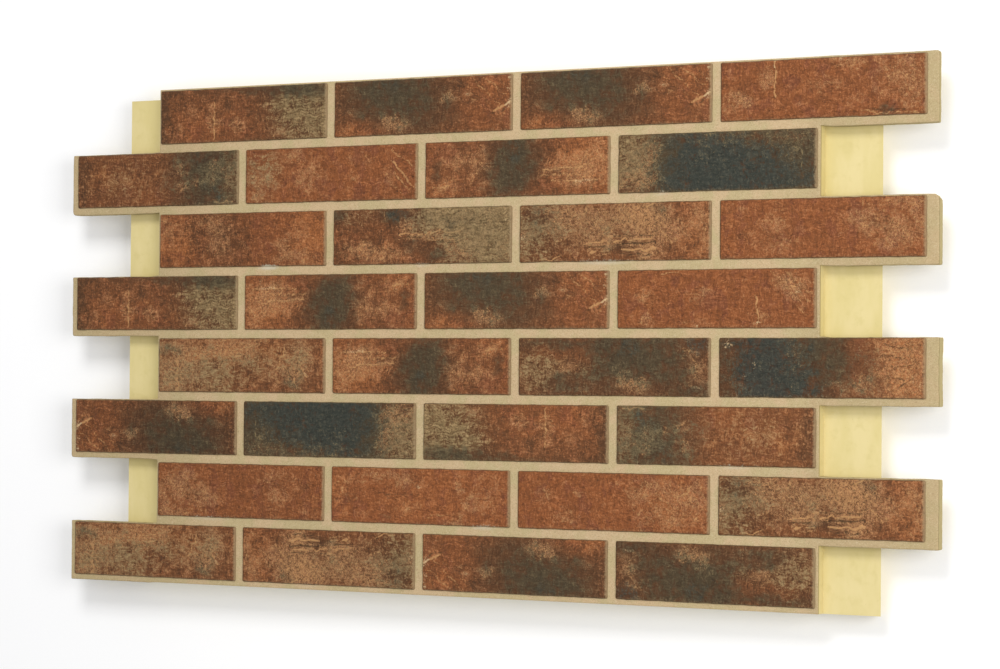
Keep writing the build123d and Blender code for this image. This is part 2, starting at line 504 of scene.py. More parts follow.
def makeSlipTree():
    # turns the blank into one slip: relief on its face, slightly uneven edges, its place and glaze
    tree = bpy.data.node_groups.new("slipTree", "GeometryNodeTree")
    sockets = {"Geometry": "Geometry", "Place": "Vector", "Glaze": "Material"}
    sockets.update(dict.fromkeys(
        ("Relief", "Relief Size", "Wander", "Wander Size", "Print Seed", "Piece Seed", "Turned"), "Float"))
    for name, kind in sockets.items():
        tree.interface.new_socket(name, in_out="INPUT", socket_type="NodeSocket" + kind)
    tree.interface.new_socket("Geometry", in_out="OUTPUT", socket_type="NodeSocketGeometry")
    given = addNode(tree, "NodeGroupInput").outputs
    place = addNode(tree, "GeometryNodeInputPosition").outputs[0]

    def named(name):
        made = addNode(tree, "GeometryNodeInputNamedAttribute", {"Name": name}, data_type="FLOAT")
        return made.outputs["Attribute"]

    def seeded(places, seed, step):
        # the places in millimetres, in a layer of the noise that goes with the seed
        layer = combine(tree, Z=product(tree, step, given[seed]))
        return calcVector(tree, "ADD", calcVector(tree, "SCALE", places, scale=1 / mm), layer)

    def scaleOf(size):
        return calc(tree, "DIVIDE", 1.0, given[size])

    facing = calc(tree, "SUBTRACT", 1.0, product(tree, 2.0, given["Turned"]))
    turn = combine(tree, X=facing, Y=facing, Z=1.0)
    printPlace = seeded(calcVector(tree, "MULTIPLY", place, turn), "Print Seed", 60.0)
    stored = addNode(tree, "GeometryNodeStoreNamedAttribute", {
        "Geometry": given["Geometry"], "Name": "printPos", "Value": printPlace},
        data_type="FLOAT_VECTOR", domain="POINT").outputs[0]

    waves = calc(tree, "SUBTRACT", grain(tree, printPlace, scaleOf("Relief Size"), 4, 0.6), 0.5)
    lift = product(tree, 2.0, waves, given["Relief"], named("faceShare"))
    sway = sideways(tree, seeded(place, "Piece Seed", 90.0), scaleOf("Wander Size"), 3, 0.6)
    sway = calcVector(tree, "MULTIPLY", sway, (2.0, 2.0, 1.0))
    sway = calcVector(tree, "SCALE", sway, scale=product(tree, named("edgeShare"), given["Wander"]))
    shift = calcVector(tree, "ADD", calcVector(tree, "ADD", sway, combine(tree, Z=lift)), given["Place"])
    shaped = addNode(tree, "GeometryNodeSetPosition", {"Geometry": stored, "Offset": shift}).outputs[0]
    real = addNode(tree, "GeometryNodeRealizeInstances", {"Geometry": shaped}).outputs[0]
    painted = addNode(tree, "GeometryNodeSetMaterial", {"Geometry": real, "Material": given["Glaze"]})
    addNode(tree, "NodeGroupOutput", {"Geometry": painted.outputs[0]})
    return tree


def setInputs(modifier, values):
    found = {item.name: item.identifier for item in modifier.node_group.interface.items_tree
             if item.in_out == "INPUT"}
    for name, value in values.items():
        modifier[found[name]] = value


def freeze(piece):
    # the evaluated shape becomes the piece's own plain mesh
    graph = bpy.context.evaluated_depsgraph_get()
    mesh = bpy.data.meshes.new_from_object(
        piece.evaluated_get(graph), preserve_all_data_layers=True, depsgraph=graph)
    piece.modifiers.clear()
    piece.data = mesh
    return mesh


# Prints of the glaze. "base" is how rusty the plain clay is. Each soft spot of the other paints is
# (from the left, from the top, reach along, reach down, strength), as shares of the face. Each
# stroke is (from the left, from the top, to the left, to the top, width in millimetres, strength).
prints = {
    "oliveEnd": {
        "seed": 1, "base": 0.3, "tone": [(.3, .75, .2, .3, .35), (.02, .5, .04, .8, -.4)],
        "glow": [(.17, .85, .06, .12, .25), (.34, .75, .1, .14, .2)],
        "gold": [(.33, .6, .04, .25, .55), (.45, .68, .06, .1, .55), (.2, .42, .04, .12, .35),
                 (.72, .88, .06, .1, .5), (.1, .8, .05, .15, .3), (.65, .4, .08, .15, .2)],
        "ash": [(.92, .55, .17, .6, .85), (.72, .4, .1, .3, .3)],
        "soot": [(.86, .06, .14, .2, .85), (.6, .05, .25, .1, .35)],
        "mark": [(.335, .25, .332, .95, .7, .7), (.78, .3, .97, .36, .7, .5), (.76, .48, .98, .56, .7, .5),
                 (.74, .66, .96, .7, .8, .5), (.72, .86, .9, .84, .7, .5)],
        "dent": [(.78, .38, .97, .46, .8, .5), (.76, .58, .97, .63, .8, .45), (.78, .76, .98, .8, .8, .45)]},
    "darkCloud": {
        "seed": 2, "base": 0.2, "tone": [(.9, .5, .2, .8, .4), (.1, .9, .2, .2, .35)],
        "soot": [(.29, .12, .15, .3, .7), (.43, .45, .11, .45, .42), (.2, .45, .14, .3, .25),
                 (.62, .6, .1, .4, .2), (.42, .35, .3, .5, .15)],
        "navy": [(.3, .12, .08, .18, .35)],
        "glow": [(.1, .92, .12, .12, .45), (.92, .15, .1, .2, .25)],
        "gold": [(.3, .76, .04, .15, .9), (.38, .8, .05, .14, .75), (.64, .38, .05, .06, .9),
                 (.765, .37, .02, .06, .9), (.68, .12, .03, .06, .55), (.1, .4, .1, .2, .25),
                 (.06, .85, .06, .1, .3), (.95, .75, .06, .2, .3)],
        "flake": [(.985, .15, .02, .1, .9), (.985, .56, .02, .07, 1.0), (.765, .37, .012, .05, .8)],
        "mark": [(.77, .02, .96, .62, .7, .62), (.83, .0, .98, .42, .7, .6), (.73, .1, .88, .5, .7, .5),
                 (.9, .02, .99, .28, .6, .55), (.9, .64, 1.0, .5, .8, .7), (.1, .38, .2, .42, .8, .4)],
        "dent": [(.86, .72, .96, .62, .9, .6)]},
    "rustSpeckle": {
        "seed": 3, "base": 0.8, "soot": [(.82, .9, .04, .07, .6), (.12, .45, .05, .15, .15)],
        "gold": [(.07, .58, .05, .12, .7), (.13, .68, .03, .08, .75), (.05, .85, .06, .12, .4),
                 (.235, .3, .035, .18, .65), (.62, .05, .08, .06, .65), (.5, .45, .07, .08, .45),
                 (.88, .25, .1, .25, .45), (.95, .6, .06, .4, .4), (.7, .5, .2, .5, .2)],
        "flake": [(.274, .1, .006, .1, .8), (.58, .03, .012, .05, .8)],
        "mark": [(.273, .0, .275, .6, .7, .9), (.02, .35, .16, .9, .7, .5), (.7, .92, .96, .97, .7, .7),
                 (.04, .5, .12, .75, .7, .45)],
        "dent": [(.72, .88, .9, .92, 1.0, .6)]},
    "ringEnd": {
        "seed": 4, "base": 0.48, "glow": [(.15, .38, .07, .2, .4), (.36, .5, .12, .1, .35),
                                         (.52, .3, .05, .2, .4)],
        "tone": [(.02, .5, .06, .8, -.3), (.45, .8, .1, .2, .2)],
        "soot": [(.82, .5, .2, 1.3, .85)], "navy": [(.87, .78, .07, .2, .4), (.75, .15, .07, .15, .3)],
        "ash": [(.97, .4, .08, .8, .6), (.8, .45, .15, .5, .3), (.3, .5, .35, .8, .26)],
        "gold": [(.655, .3, .03, .1, .8), (.66, .67, .035, .07, .95), (.86, .28, .035, .09, .9),
                 (.76, .55, .05, .08, .7), (.85, .5, .03, .08, .7), (.95, .5, .04, .3, .6),
                 (.9, .94, .08, .04, .8), (.36, .5, .12, .08, .3)],
        "mark": [(.84, .16, .9, .3, .8, .6), (.82, .34, .9, .4, .8, .6), (.63, .63, .7, .7, .8, .6),
                 (.86, .96, .97, .92, .9, .7)]},
    "rustCurves": {
        "seed": 5, "base": 0.8, "ash": [(.1, .4, .12, .5, .4)],
        "gold": [(.08, .58, .05, .15, .6), (.09, .85, .03, .12, .65), (.14, .62, .03, .12, .5),
                 (.38, .55, .08, .25, .5), (.27, .15, .06, .08, .5), (.64, .62, .03, .06, .75),
                 (.68, .25, .05, .12, .4), (.84, .6, .04, .15, .5), (.2, .3, .15, .3, .2)],
        "mark": [(.86, .3, .98, .78, .9, .8), (.87, .52, .95, .82, .8, .75), (.24, .12, .36, .26, .7, .55),
                 (.86, .08, .97, .42, .8, .7), (.05, .7, .08, 1.0, .8, .6), (.84, .66, .93, .96, .8, .6)],
        "dent": [(.06, .72, .09, 1.0, .9, .5)]},
    "goldEnd": {
        "seed": 6, "base": 0.62, "tone": [(.52, .35, .25, .5, -.4)],
        "soot": [(.5, .25, .1, .5, .75), (.44, .7, .1, .4, .5), (.07, .5, .03, .12, .5)],
        "navy": [(.49, .25, .035, .3, .35)],
        "glow": [(.88, .45, .14, .5, .65), (.1, .85, .1, .14, .45), (.1, .3, .08, .2, .2)],
        "gold": [(.86, .5, .12, .2, .85), (.86, .78, .08, .1, .9), (.72, .58, .1, .06, .6),
                 (.1, .8, .1, .14, .5), (.18, .3, .12, .2, .45), (.3, .6, .1, .3, .3),
                 (.93, .2, .05, .2, .45)],
        "flake": [(.87, .78, .05, .07, .75), (.9, .45, .03, .05, .5)],
        "mark": [(.65, .56, .92, .5, .8, .7), (.63, .64, .85, .66, .8, .6), (.7, .74, .94, .76, .8, .7),
                 (.05, .8, .14, .82, .8, .6), (.06, .68, .18, .7, .7, .4)],
        "dent": [(.66, .6, .86, .58, .8, .5), (.64, .7, .82, .7, .7, .45)]},
    "nightBlue": {
        "seed": 7, "base": 0.2, "ash": [(.08, .35, .14, .5, .8)],
        "navy": [(.42, .65, .18, .8, .9), (.75, .8, .24, .4, .75), (.62, .4, .2, .3, .2)],
        "soot": [(.55, .5, .33, 1.2, 1.0), (.93, .5, .12, .9, .7), (.27, .5, .06, 1.2, .75)],
        "gold": [(.1, .72, .09, .25, 1.0), (.1, .3, .1, .3, .5), (.2, .55, .04, .4, .3),
                 (.88, .25, .1, .3, .5), (.6, .08, .3, .14, .45), (.48, .35, .08, .2, .2)],
        "glow": [(.1, .75, .09, .25, .45), (.97, .2, .05, .3, .3)],
        "mark": [(.03, .8, .12, .7, .8, .6), (.12, .7, .2, .95, .8, .5), (.925, .3, .93, .65, .7, .6),
                 (.88, .6, .9, .85, .6, .4)],
        "dent": [(.03, .88, .12, .78, .8, .7), (.14, .6, .28, .95, .9, .6)]},
    "shadedRust": {
        "seed": 8, "base": 0.62, "tone": [(.42, .5, .13, .8, -.35), (.22, .3, .05, .4, -.25),
                                         (.7, .4, .1, .4, .15)],
        "glow": [(.92, .45, .13, .6, .65), (.05, .55, .1, .4, .45), (.17, .55, .04, .3, .35)],
        "gold": [(.04, .3, .06, .25, .6), (.17, .35, .03, .15, .4), (.31, .18, .05, .15, .7),
                 (.38, .35, .05, .2, .5), (.36, .7, .08, .2, .35), (.53, .6, .03, .1, .4),
                 (.75, .65, .04, .2, .6), (.85, .85, .14, .12, .55), (.85, .4, .06, .2, .45)],
        "mark": [(.02, .12, .14, .2, .7, .55), (.195, .45, .2, .75, .7, .5), (.78, .5, .8, .7, .8, .6)]},
    "greyWorm": {
        "seed": 9, "base": 0.38, "navy": [(.36, .1, .06, .14, .45), (.5, .2, .08, .2, .2)],
        "ash": [(.88, .4, .2, .9, 1.15), (.62, .2, .15, .25, .8), (.15, .15, .15, .2, .3)],
        "soot": [(.35, .1, .08, .16, .6), (.6, .82, .07, .12, .5), (.66, .25, .05, .08, .5),
                 (.78, .25, .04, .08, .5), (.03, .1, .06, .15, .5), (.45, .65, .06, .12, .35)],
        "glow": [(.25, .75, .15, .15, .35)],
        "gold": [(.16, .72, .1, .12, .8), (.3, .82, .12, .12, .6), (.42, .32, .06, .12, .6),
                 (.55, .5, .15, .08, .6), (.72, .72, .07, .16, .75), (.76, .86, .06, .1, .5),
                 (.85, .35, .13, .35, .6), (.66, .2, .1, .15, .5), (.95, .8, .06, .2, .5)],
        "flake": [(.985, .2, .02, .25, .55)],
        "mark": [(.38, .47, .72, .44, .65, .9), (.54, .57, .73, .56, .6, .8), (.36, .57, .44, .55, .6, .6),
                 (.4, .38, .46, .36, .7, .7), (.29, .04, .3, .2, .7, .6), (.72, .5, .9, .6, .6, .5)],
        "dent": [(.38, .53, .5, .51, .6, .85), (.55, .62, .73, .61, .6, .85), (.64, .5, .73, .5, .6, .75),
                 (.64, .2, .66, .27, .8, .7), (.75, .2, .78, .27, .8, .7), (.77, .27, .79, .2, .8, .7)]},
    "goldFlakes": {
        "seed": 10, "base": 0.45, "navy": [(.1, .2, .09, .25, .25)],
        "ash": [(.35, .3, .2, .4, .12), (.5, .6, .15, .4, .1), (.08, .5, .12, .5, .5),
                (.6, .5, .6, .8, .15)],
        "soot": [(.52, .78, .08, .1, .4), (.73, .12, .05, .15, .4), (.12, .35, .09, .35, .35)],
        "glow": [(.92, .5, .1, .5, .5), (.45, .75, .08, .1, .4), (.25, .3, .2, .3, .25)],
        "gold": [(.63, .22, .09, .22, 1.2), (.7, .42, .07, .3, 1.15), (.66, .86, .06, .1, 1.1),
                 (.57, .3, .05, .2, .7), (.28, .12, .08, .14, .8), (.42, .35, .05, .2, .8),
                 (.03, .5, .03, .12, 1.0), (.45, .68, .1, .08, .8), (.82, .5, .06, .25, .5),
                 (.22, .4, .14, .4, .5), (.95, .4, .05, .4, .6), (.42, .35, .25, .4, .25)],
        "flake": [(.03, .54, .02, .08, .8), (.67, .85, .05, .06, .4)],
        "mark": [(.36, .69, .47, .67, .6, .85), (.5, .65, .72, .63, .65, .95), (.36, .83, .48, .82, .6, .8),
                 (.54, .81, .72, .79, .8, 1.0), (.66, .12, .74, .0, .7, .85), (.74, .5, .8, .72, .7, .85),
                 (.1, .95, .24, .91, .7, .7), (.4, .9, .5, .89, .6, .7)],
        "dent": [(.5, .72, .72, .7, .65, .95), (.35, .76, .46, .74, .6, .8), (.52, .88, .68, .87, .6, .8),
                 (.5, .58, .7, .57, .6, .75)]},
    "rustCrackle": {
        "seed": 11, "base": 0.82, "glow": [(.85, .1, .1, .1, .4), (.05, .3, .05, .4, .3)],
        "tone": [(.78, .42, .04, .08, -.4), (.12, .6, .03, .1, -.4)],
        "gold": [(.7, .38, .06, .2, .75), (.86, .6, .08, .25, .9), (.88, .08, .09, .1, .7),
                 (.3, .2, .05, .2, .3), (.3, .75, .1, .2, .35), (.97, .3, .03, .3, .55),
                 (.26, .5, .1, .2, .3), (.08, .15, .06, .15, .35)],
        "mark": [(.29, .75, .4, .9, .7, .45), (.695, .05, .7, .14, .8, .6), (.08, .75, .3, .8, .6, .3)]},
    "rustScratched": {
        "seed": 12, "base": 0.84, "glow": [(.15, .45, .05, .15, .35)],
        "gold": [(.15, .5, .06, .15, .5), (.43, .35, .03, .08, .6), (.42, .5, .05, .06, .55),
                 (.9, .35, .07, .2, .85), (.86, .2, .06, .15, .5), (.73, .85, .04, .15, .6),
                 (.15, .88, .04, .08, .65), (.35, .92, .1, .06, .4)],
        "flake": [(.91, .35, .03, .08, .6), (.71, .95, .012, .04, .9), (.405, .98, .01, .04, .9)],
        "mark": [(.78, .05, .99, .62, .8, .6), (.84, .02, .98, .4, .8, .6), (.88, .55, .96, .78, .8, .6),
                 (.708, .42, .712, 1.0, .7, .8), (.22, .05, .34, .03, .8, .6), (.82, .3, .9, .5, .6, .4)]},
    "paleMottle": {
        "seed": 13, "base": 0.4,
        "ash": [(.1, .75, .1, .3, .45), (.28, .55, .1, .3, .25), (.6, .4, .08, .2, .25),
                (.38, .75, .1, .3, .25), (.83, .4, .07, .3, .3), (.05, .2, .06, .2, .2),
                (.45, .45, .6, .7, .25)],
        "glow": [(.43, .2, .12, .18, .5), (.22, .3, .1, .15, .5), (.7, .3, .15, .25, .3),
                 (.08, .7, .08, .3, .3), (.45, .4, .6, .8, .2)],
        "soot": [(.82, .8, .06, .15, .4), (.1, .22, .15, .06, .4), (.56, .42, .05, .08, .3)],
        "gold": [(.42, .18, .09, .15, 1.0), (.5, .28, .05, .06, .8), (.08, .78, .07, .22, .8),
                 (.14, .6, .14, .4, .5), (.45, .5, .5, .6, .3), (.22, .3, .1, .14, .6),
                 (.85, .4, .05, .3, 1.0), (.8, .6, .04, .15, .8), (.57, .12, .04, .1, .5),
                 (.7, .5, .05, .2, .3)],
        "flake": [(.9, .68, .02, .08, .5)],
        "mark": [(.115, .4, .12, .98, 1.6, .68), (.21, .5, .215, .95, 1.1, .6), (.39, .5, .4, .9, 1.3, .55),
                 (.77, .17, .71, .6, .9, .75), (.4, .36, .5, .33, .8, .8), (.22, .3, .3, .36, .8, .7),
                 (.84, .4, .9, .72, .9, .75), (.8, .5, .84, .9, .7, .7), (.36, .26, .6, .14, .8, .65),
                 (.04, .4, .05, .7, 1.2, .5), (.87, .3, .93, .5, .7, .6)],
        "dent": [(.36, .42, .5, .4, .8, .5), (.78, .5, .8, .75, 1.0, .6), (.12, .4, .13, .98, .7, .4),
                 (.86, .5, .88, .78, .7, .6), (.22, .38, .3, .44, .8, .4)]},
    "blackPatches": {
        "seed": 14, "base": 0.25, "tone": [(.15, .25, .08, .1, .3), (.36, .25, .08, .2, .25)],
        "soot": [(.5, .4, .12, .4, .5), (.65, .3, .18, .4, .7), (.82, .6, .12, .4, .35),
                 (.25, .8, .12, .18, .5), (.2, .1, .2, .1, .5), (.95, .9, .1, .1, .5)],
        "navy": [(.93, .12, .07, .12, .6), (.58, .2, .08, .15, .4)],
        "ash": [(.1, .5, .12, .5, .45), (.4, .55, .1, .3, .3)],
        "gold": [(.62, .78, .07, .12, .95), (.54, .72, .04, .1, .7), (.93, .5, .04, .25, .8),
                 (.87, .22, .03, .12, .5), (.33, .86, .04, .06, .6), (.1, .6, .1, .3, .3),
                 (.27, .5, .08, .1, .4)],
        "flake": [(.945, .87, .012, .03, .9), (.12, .98, .02, .03, .7)],
        "mark": [(.25, .58, .31, .5, .6, .5), (.31, .5, .37, .58, .6, .5), (.51, .65, .57, .85, .7, .6)]},
    "nightToGold": {
        "seed": 15, "base": 0.25, "tone": [(.75, .5, .15, 1.0, .5)],
        "navy": [(.22, .45, .13, 1.0, 1.0), (.42, .85, .1, .25, .5), (.42, .35, .08, .3, .3)],
        "soot": [(.4, .3, .16, .6, .8), (.06, .5, .08, .9, .5), (.58, .3, .1, .5, .35),
                 (.74, .6, .06, .4, .4)],
        "glow": [(.9, .5, .13, .9, .7)],
        "gold": [(.88, .5, .12, .7, 1.0), (.38, .3, .06, .25, .4), (.06, .75, .06, .2, .3),
                 (.7, .75, .04, .2, .45), (.58, .8, .06, .15, .3)],
        "flake": [(.055, .1, .018, .05, 1.0), (.18, .42, .007, .04, .8), (.135, .57, .006, .03, .7),
                  (.61, .92, .006, .03, .7), (.97, .75, .03, .2, .45)],
        "mark": [(.765, .0, .768, .5, .7, .5), (.86, .25, .94, .18, .9, .6)],
        "dent": [(.8, .1, .93, .24, .9, .7), (.78, .3, .9, .34, .8, .7), (.84, .5, .94, .44, .8, .7),
                 (.8, .62, .9, .7, .8, .7), (.86, .85, .95, .68, .8, .7)]},
    "rustStreaks": {
        "seed": 16, "base": 0.9,
        "glow": [(.05, .5, .05, .4, .45), (.42, .68, .08, .2, .4), (.7, .4, .3, .6, .3)],
        "soot": [(.11, .55, .04, .1, .3), (.33, .85, .03, .08, .3)],
        "gold": [(.4, .2, .1, .14, .7), (.25, .12, .06, .06, .5), (.43, .68, .08, .15, .45),
                 (.73, .35, .02, .08, .8), (.78, .62, .025, .1, .8), (.71, .9, .04, .08, .7),
                 (.86, .5, .1, .4, .35), (.1, .35, .1, .3, .3)],
        "flake": [(.495, .33, .013, .05, 1.0), (.72, .1, .02, .05, .5)],
        "mark": [(.02, .3, .2, .26, .7, .5), (.0, .48, .12, .5, .8, .5), (.52, .84, .7, .8, .8, .5),
                 (.78, .38, .96, .34, .8, .5), (.78, .5, .95, .5, .7, .45), (.36, .56, .5, .6, .7, .45),
                 (.0, .62, .12, .6, .7, .45), (.22, .15, .36, .12, .7, .4)],
        "dent": [(.25, .48, .5, .46, .8, .6), (.26, .55, .44, .52, .7, .5), (.4, .4, .52, .42, .7, .4),
                 (.2, .24, .3, .2, .7, .45)]},
    "rustPale": {
        "seed": 17, "base": 0.84, "glow": [(.82, .5, .15, .5, .5)],
        "gold": [(.62, .35, .05, .2, .6), (.72, .25, .06, .2, .6), (.85, .55, .1, .35, .6),
                 (.95, .3, .05, .3, .6), (.33, .34, .03, .04, .75), (.27, .78, .06, .12, .55),
                 (.13, .35, .04, .15, .5), (.7, .8, .08, .15, .45), (.8, .75, .02, .05, .7)],
        "mark": [(.13, .2, .2, .8, .7, .5), (.88, .28, .93, .12, .9, .6), (.84, .4, .9, .26, .9, .6),
                 (.27, .65, .31, .8, .7, .5), (.2, .75, .3, .82, .7, .4), (.3, .36, .36, .31, .7, .6)],
        "dent": [(.92, .2, .95, .45, .9, .5)]},
}

# Which print each slip has, course by course from the top; "turned" is the print upside down
layout = [
    ["oliveEnd", "darkCloud", "darkCloud", "rustSpeckle"],
    ["ringEnd", "rustCurves", "goldEnd", "nightBlue"],
    ["shadedRust", "greyWorm", "goldFlakes", "rustCrackle"],
    ["oliveEnd", "goldEnd turned", "darkCloud", "rustScratched"],
    ["paleMottle", "goldEnd turned", "blackPatches", "nightToGold"],
    ["darkCloud turned", "nightBlue turned", "oliveEnd turned", "ringEnd turned"],
    ["rustCrackle turned", "rustStreaks", "rustPale", "goldFlakes"],
    ["paleMottle", "goldFlakes turned", "darkCloud turned", "blackPatches turned"],
]

# How much lighter or darker than usual a slip was fired, by course and place
firing = {
    (1, 2): 0.02, (1, 3): 0.04, (1, 4): -0.03, (2, 1): -0.07, (2, 2): -0.03, (2, 3): 0.04, (2, 4): 0.04,
    (3, 1): -0.06, (4, 2): 0.03, (4, 3): 0.09, (4, 4): -0.01, (5, 1): 0.07, (5, 3): 0.06,
    (6, 1): -0.13, (6, 3): 0.12, (6, 4): 0.14, (7, 1): -0.08, (8, 1): 0.01, (8, 2): -0.06,
    (8, 3): 0.05, (8, 4): 0.03,
}

# Pale smears of joint left on the lower edge of a slip: course, slip, place along it, reach, strength
limeSmears = [(3, 1, .66, .07, .9), (3, 2, .5, .06, .5), (3, 3, .45, .18, .6), (7, 2, .85, .1, .6),
              (7, 1, .3, .2, .5), (2, 4, .22, .06, .5), (6, 4, .6, .12, .5), (8, 2, .4, .1, .4)]

spotNames = ("tone", "glow", "ash", "soot", "navy", "gold", "flake")
strokeNames = ("mark", "dent")
# How far the swirl bends the spots and the strokes, along and down, as shares of the face;
# how fast a spot fades, and how far a stroke reaches for each part of its width
printShape = {
    "spotSway": (0.035, 0.12), "strokeSway": (0.012, 0.05), "spotFade": 0.7, "strokeReach": 1.8 * mm,
}


def addSpots(fromLeft, fromTop, spots):
    paint = np.zeros(len(fromLeft))
    for left, top, reachX, reachY, strength in spots:
        away = ((fromLeft - left) / reachX) ** 2 + ((fromTop - top) / reachY) ** 2
        paint += strength * np.exp(-printShape["spotFade"] * away)
    return paint


def addStrokes(fromLeft, fromTop, strokes, size):
    # soft lines; places are worked out in metres, so that a line is equally wide all along
    paint = np.zeros(len(fromLeft))
    places = np.stack([fromLeft * size[0], fromTop * size[1]], 1)
    for left, top, toLeft, toTop, width, strength in strokes:
        start = np.array((left * size[0], top * size[1]))
        line = np.array((toLeft * size[0], toTop * size[1])) - start
        along = np.clip((places - start) @ line / (line @ line), 0, 1)
        away = np.linalg.norm(places - start - along[:, None] * line, axis=1)
        reach = width * printShape["strokeReach"]
        paint = np.maximum(paint, strength * np.exp(-(away / reach) ** 2))
    return paint


def paintPrint(mesh, printName, size):
    # writes the print's soft spots and strokes on the points of a slip's mesh
    recipe = prints[printName]
    places = readVectors(mesh.attributes["printPos"].data, "vector")
    # noise_vector would start elsewhere at every run, so plain noise is read at two far places
    swirl = np.array([[noise.noise((x * 0.06 + far, y * 0.09, z * 0.06))
                       + 0.6 * noise.noise((x * 0.2, y * 0.2 + far, z * 0.2)) for far in (17.3, 71.9)]
                      for x, y, z in places])
    middled = places[:, :2] * (mm, -mm) / size[:2] + 0.5  # from the left and from the top
    bentSpots = (middled + swirl * printShape["spotSway"]).T
    bentStrokes = (middled + swirl * printShape["strokeSway"]).T
    for name in spotNames:
        values = addSpots(*bentSpots, recipe.get(name, []))
        writeAttribute(mesh, name, values + recipe["base"] if name == "tone" else values)
    for name in strokeNames:
        writeAttribute(mesh, name, addStrokes(*bentStrokes, recipe.get(name, []), size))


def paintEdges(mesh, low, high, shape):
    # dust lies on the right and lower edges of a slip and on its sides; on the right edge it is also painted
    # highlight, and the dark left edge is painted shade
    x, y, z = readVectors(mesh.vertices, "co").T
    # dust and painted highlight: a pale band along the right edge
    beside = np.clip(1.2 - (high.x - x) / shape["highlightAndDustReach"], 0, 1)
    below = np.clip(1.3 - (y - low.y) / shape["highlightAndDustReach"], 0, 1)
    dustAndHighlight = np.maximum(beside, shape["dustBelow"] * below)
    dustAndHighlight[z < high.z - shape["faceDepth"]] = 1.0
    writeAttribute(mesh, "dustAndHighlight", dustAndHighlight)
    # painted shade: a dark band along the left edge, the side turned away from the light
    writeAttribute(mesh, "darkLineAndShade", np.clip(1.3 - (x - low.x) / shape["leftShadeReach"], 0, 1))


def limeAt(x, y, course, column, left, right, bottom, reachY):
    # how much lime lies at some places on or just below one slip
    lime = np.zeros(len(x))
    for row, place, along, reach, strength in limeSmears:
        if (row, place) == (course, column):
            aside = (x - left - along * (right - left)) / (reach * (right - left))
            lime += strength * np.exp(-aside ** 2 - ((y - bottom) / reachY) ** 2)
    return lime


def makeSlips():
    low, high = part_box("slip_r1_c1")
    size = tuple(high - low)
    blank = makeSlipBlank(size, slipShape)
    tree = makeSlipTree()
    for course in range(1, courses + 1):
        for column in range(1, slipsPerCourse + 1):
            node = f"slip_r{course}_c{column}"
            low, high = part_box(node)
            printName, _, turned = layout[course - 1][column - 1].partition(" ")
            slip = bpy.data.objects.new(f"glazedSlipR{course}C{column}", blank)
            bpy.context.scene.collection.objects.link(slip)
            modifier = slip.modifiers.new("slipTree", "NODES")
            modifier.node_group = tree
            middle = (low + high) / 2
            setInputs(modifier, {
                "Relief": slipShape["relief"], "Relief Size": slipShape["reliefSize"],
                "Wander": slipShape["wander"], "Wander Size": slipShape["wanderSize"],
                "Print Seed": float(prints[printName]["seed"]), "Piece Seed": float(course * 4 + column),
                "Turned": 1.0 if turned else 0.0, "Place": (middle.x, middle.y, low.z), "Glaze": glaze})
            mesh = freeze(slip)
            paintPrint(mesh, printName, size)
            paintEdges(mesh, low, high, slipShape)
            fired = 1.0 + firing.get((course, column), 0.0)
            writeAttribute(mesh, "fired", np.full(len(mesh.vertices), fired))
            x, y, _ = readVectors(mesh.vertices, "co").T
            lime = limeAt(x, y, course, column, low.x, high.x, low.y, slipShape["limeReach"])
            writeAttribute(mesh, "lime", lime)
            mesh.shade_smooth()
            mesh.set_sharp_from_angle(angle=slipShape["sharpAngle"])
            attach(slip, "root")
            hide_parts(node)


makeSlips()
print("slips laid")


# Millimetres: the lips round the slips, the depths, the steps of the mesh and its small faults;
# the joint is duller towards its left and right ends, which is painted shade: how much, and from where to
# where
jointShape = {
    "lipAbove": 1.5, "lipBelowTooth": 7.5, "notchLipLeft": 2.0, "notchLipRight": 3.0,
    "skin": 2.0, "surface": 38.0, "lattice": 35.5, "foot": 26.0,
    "underSlip": 0.6, "spacing": 2.4, "endRow": 6.0, "sideRow": 4.0, "edgeSoft": 0.8, "edgeDrop": 0.45,
    "sandRelief": 0.22, "wave": 0.5, "waveReach": 9.0, "sideWave": 0.4, "wallReach": 12.0,
    "tolerance": 0.01, "breakSlope": 2.4, "limeDrop": 1.5, "limeReach": 3.0, "sharpAngle": math.radians(50),
    "dullLeft": 0.35, "dullLeftFrom": 110.0, "dullLeftOver": 120.0,
    "dullRight": 0.6, "dullRightFrom": 20.0, "dullRightOver": 30.0,
}

# How far each tooth stands out past the model, in millimetres: its end at the face and at the foot,
# its lower and its upper edge; then how far its lower and its upper corner are rounded
toothEnds = {
    1: (1.7, -1.7, 1.7, 0.0, 1.5, 2.6), 2: (1.0, 1.0, 1.0, -1.1, 3.6, 2.0),
    3: (2.3, 0.8, 1.0, -0.4, 1.5, 4.0), 4: (0.3, 0.3, -0.3, -1.3, 2.6, 1.6),
    5: (2.8, 2.0, 0.5, -1.3, 1.2, 1.2), 6: (0.2, 0.2, -1.1, -0.8, 3.4, 1.4),
    7: (3.2, 2.2, 0.5, -0.4, 1.6, 1.2), 8: (-1.3, -1.3, 0.6, -0.7, 1.2, 1.0),
}
brokenCorner = 3  # the upper corner of this course's tooth is broken off, more so at its foot


def spread(marks, spacing):
    # the marks, with even steps between them that are no longer than the spacing
    marks = sorted(set(round(mark, 4) for mark in marks))
    line = [marks[0]]
    for start, stop in zip(marks, marks[1:]):
        steps = max(1, math.ceil((stop - start) / spacing))
        line += [start + (stop - start) * step / steps for step in range(1, steps + 1)]
    return np.array(line)


